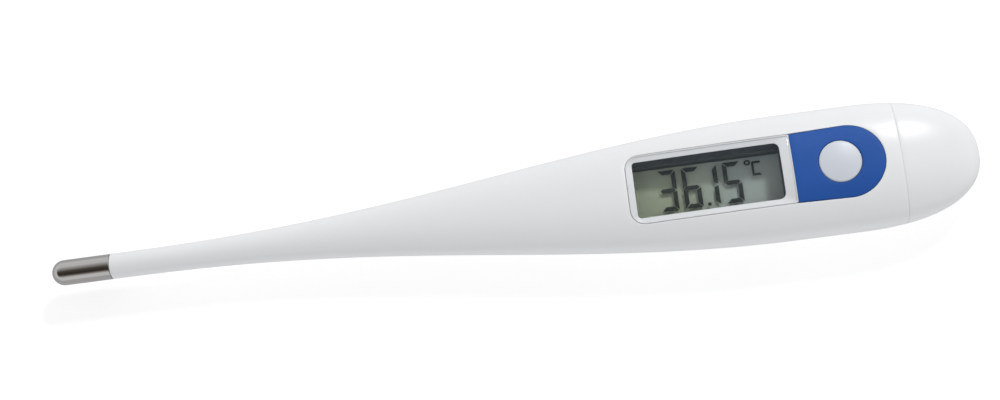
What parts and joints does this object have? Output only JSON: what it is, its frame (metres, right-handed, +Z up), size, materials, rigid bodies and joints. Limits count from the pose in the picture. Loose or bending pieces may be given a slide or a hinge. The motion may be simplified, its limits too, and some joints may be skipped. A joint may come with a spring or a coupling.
{
  "type": "digital thermometer",
  "caption": "Stick digital thermometer: slim probe stem with metal tip, display window, round on/off button in a coloured trim, and pull-off battery cover.",
  "frame": {"origin": "middle of the length and width, on the flat of the underside that it rests on", "axes": "+X along the body from the metal tip to the battery cover, +Y across the body, +Z up through the display and the button"},
  "size_m": [0.13, 0.0176, 0.0103],
  "materials": {
    "white_plastic": "satin moulded ABS",
    "button_plastic": "satin moulded ABS",
    "blue_plastic": "fine satin",
    "seal_rubber": "matt",
    "tip_steel": "polished stainless steel",
    "epoxy": "cast resin",
    "sensor_glass": "glass-coated bead",
    "lead_insulation": "thin enamel insulation",
    "clear_lens": "clear polished plastic",
    "white_print": "printed white",
    "dark_plastic": "matt black",
    "spring_steel": "rolled sheet",
    "polarizer_film": "grey-green film",
    "cell_glass": "clear sheet glass",
    "segment_ink": "dark display segment",
    "reflector_film": "grey-green reflector",
    "zebra_rubber": "layered silicone",
    "board_laminate": "solder mask",
    "blob_resin": "cast resin",
    "chip_ceramic": "coated ceramic",
    "capacitor_ceramic": "fired ceramic",
    "tray_plastic": "moulded",
    "plated_bronze": "plated strip",
    "cell_steel": "nickel-plated steel",
    "gasket_nylon": "moulded nylon",
    "buzzer_brass": "rolled sheet",
    "piezo_ceramic": "silvered ceramic"
  },
  "bodies": {
    "body": {"housing": "white_plastic", "probe_tip": "tip_steel", "tip_adhesive": "epoxy", "thermistor_bead": "sensor_glass", "sensor_lead_a": "lead_insulation", "sensor_lead_b": "lead_insulation", "window_lens": "clear_lens", "lens_border": "white_print", "display_shroud": "dark_plastic", "button_trim": "blue_plastic", "switch_dome": "spring_steel", "lcd_front_polarizer": "polarizer_film", "lcd_front_glass": "cell_glass", "lcd_segments": "segment_ink", "lcd_back_glass": "cell_glass", "lcd_reflector": "reflector_film", "zebra_strip_left": "zebra_rubber", "zebra_strip_right": "zebra_rubber", "circuit_board": "board_laminate", "chip_blob": "blob_resin", "chip_resistors": "chip_ceramic", "chip_capacitors": "capacitor_ceramic", "carrier_tray": "tray_plastic", "contact_positive": "plated_bronze", "contact_negative": "plated_bronze", "buzzer_plate": "buzzer_brass", "buzzer_ceramic": "piezo_ceramic", "buzzer_leads": "plated_bronze"},
    "button": {"button_cap": "button_plastic"},
    "cover": {"battery_cover": "white_plastic", "cover_seal": "seal_rubber"},
    "battery": {"battery_can": "cell_steel", "battery_gasket": "gasket_nylon", "battery_anode": "cell_steel"}
  },
  "joints": [
    {"name": "button_press", "type": "slide", "parent": "body", "child": "button", "axis": [0, 0, -1], "range_m": [0, 0.0004], "stiffness_N_per_m": 4000, "deforming": ["switch_dome"]},
    {"name": "cover_pull", "type": "slide", "parent": "body", "child": "cover", "axis": [1, 0, 0], "range_m": [0, 0.025]},
    {"name": "battery_slide", "type": "slide", "parent": "body", "child": "battery", "axis": [1, 0, 0], "range_m": [0, 0.01]}
  ],
  "couplings": [
    {"joint": "battery_slide", "follows": "cover_pull", "ratio": 0.4}
  ]
}
